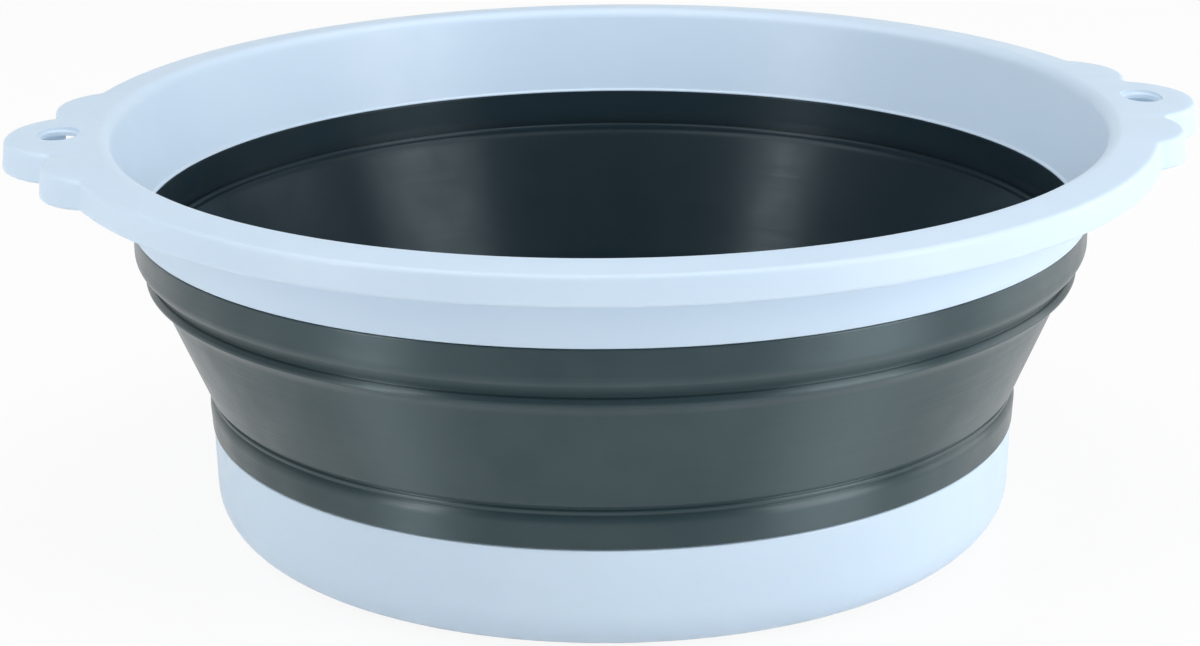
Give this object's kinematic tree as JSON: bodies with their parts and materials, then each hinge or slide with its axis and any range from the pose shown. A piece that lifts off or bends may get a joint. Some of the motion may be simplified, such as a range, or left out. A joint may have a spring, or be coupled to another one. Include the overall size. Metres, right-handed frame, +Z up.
{
  "type": "collapsible wash basin",
  "caption": "Round folding wash basin: rigid pale rim with scalloped slotted handles, dark flexible wall that folds down flat, rigid pale base pan.",
  "frame": {"origin": "centre of the underside of the base pan, on the surface the basin stands on", "axes": "+Z up along the basin's axis, X through the middles of the handles, Y along the plain sides of the rim"},
  "size_m": [0.374, 0.34, 0.1285],
  "materials": {
    "frame_plastic": "pale bluish white moulded polypropylene, fine satin finish",
    "wall_elastomer": "dark slate grey thermoplastic elastomer, matte to satin"
  },
  "bodies": {
    "base": {"base_pan": "frame_plastic", "wall_lower_band": "wall_elastomer"},
    "fold_ring_01": {"wall_fold_ring_01": "wall_elastomer"},
    "fold_ring_02": {"wall_fold_ring_02": "wall_elastomer"},
    "fold_ring_03": {"wall_fold_ring_03": "wall_elastomer"},
    "fold_ring_04": {"wall_fold_ring_04": "wall_elastomer"},
    "fold_ring_05": {"wall_fold_ring_05": "wall_elastomer"},
    "fold_ring_06": {"wall_fold_ring_06": "wall_elastomer"},
    "fold_ring_07": {"wall_fold_ring_07": "wall_elastomer"},
    "fold_ring_08": {"wall_fold_ring_08": "wall_elastomer"},
    "fold_ring_09": {"wall_fold_ring_09": "wall_elastomer"},
    "rim": {"rim_frame": "frame_plastic", "wall_upper_band": "wall_elastomer"}
  },
  "joints": [
    {"name": "rim_collapse", "type": "slide", "parent": "base", "child": "rim", "axis": [0, 0, -1], "range_m": [0, 0.077]},
    {"name": "fold_ring_01_drop", "type": "slide", "parent": "base", "child": "fold_ring_01", "axis": [0, 0, -1], "range_m": [0, 0.0078]},
    {"name": "fold_ring_02_drop", "type": "slide", "parent": "base", "child": "fold_ring_02", "axis": [0, 0, -1], "range_m": [0, 0.0155]},
    {"name": "fold_ring_03_drop", "type": "slide", "parent": "base", "child": "fold_ring_03", "axis": [0, 0, -1], "range_m": [0, 0.0232]},
    {"name": "fold_ring_04_drop", "type": "slide", "parent": "base", "child": "fold_ring_04", "axis": [0, 0, -1], "range_m": [0, 0.0309]},
    {"name": "fold_ring_05_drop", "type": "slide", "parent": "base", "child": "fold_ring_05", "axis": [0, 0, -1], "range_m": [0, 0.0386]},
    {"name": "fold_ring_06_drop", "type": "slide", "parent": "base", "child": "fold_ring_06", "axis": [0, 0, -1], "range_m": [0, 0.0463]},
    {"name": "fold_ring_07_drop", "type": "slide", "parent": "base", "child": "fold_ring_07", "axis": [0, 0, -1], "range_m": [0, 0.054]},
    {"name": "fold_ring_08_drop", "type": "slide", "parent": "base", "child": "fold_ring_08", "axis": [0, 0, -1], "range_m": [0, 0.0617]},
    {"name": "fold_ring_09_drop", "type": "slide", "parent": "base", "child": "fold_ring_09", "axis": [0, 0, -1], "range_m": [0, 0.0694]}
  ],
  "couplings": [
    {"joint": "fold_ring_01_drop", "follows": "rim_collapse", "ratio": 0.1},
    {"joint": "fold_ring_02_drop", "follows": "rim_collapse", "ratio": 0.2},
    {"joint": "fold_ring_03_drop", "follows": "rim_collapse", "ratio": 0.3},
    {"joint": "fold_ring_04_drop", "follows": "rim_collapse", "ratio": 0.4},
    {"joint": "fold_ring_05_drop", "follows": "rim_collapse", "ratio": 0.5},
    {"joint": "fold_ring_06_drop", "follows": "rim_collapse", "ratio": 0.6},
    {"joint": "fold_ring_07_drop", "follows": "rim_collapse", "ratio": 0.7},
    {"joint": "fold_ring_08_drop", "follows": "rim_collapse", "ratio": 0.8},
    {"joint": "fold_ring_09_drop", "follows": "rim_collapse", "ratio": 0.9}
  ]
}
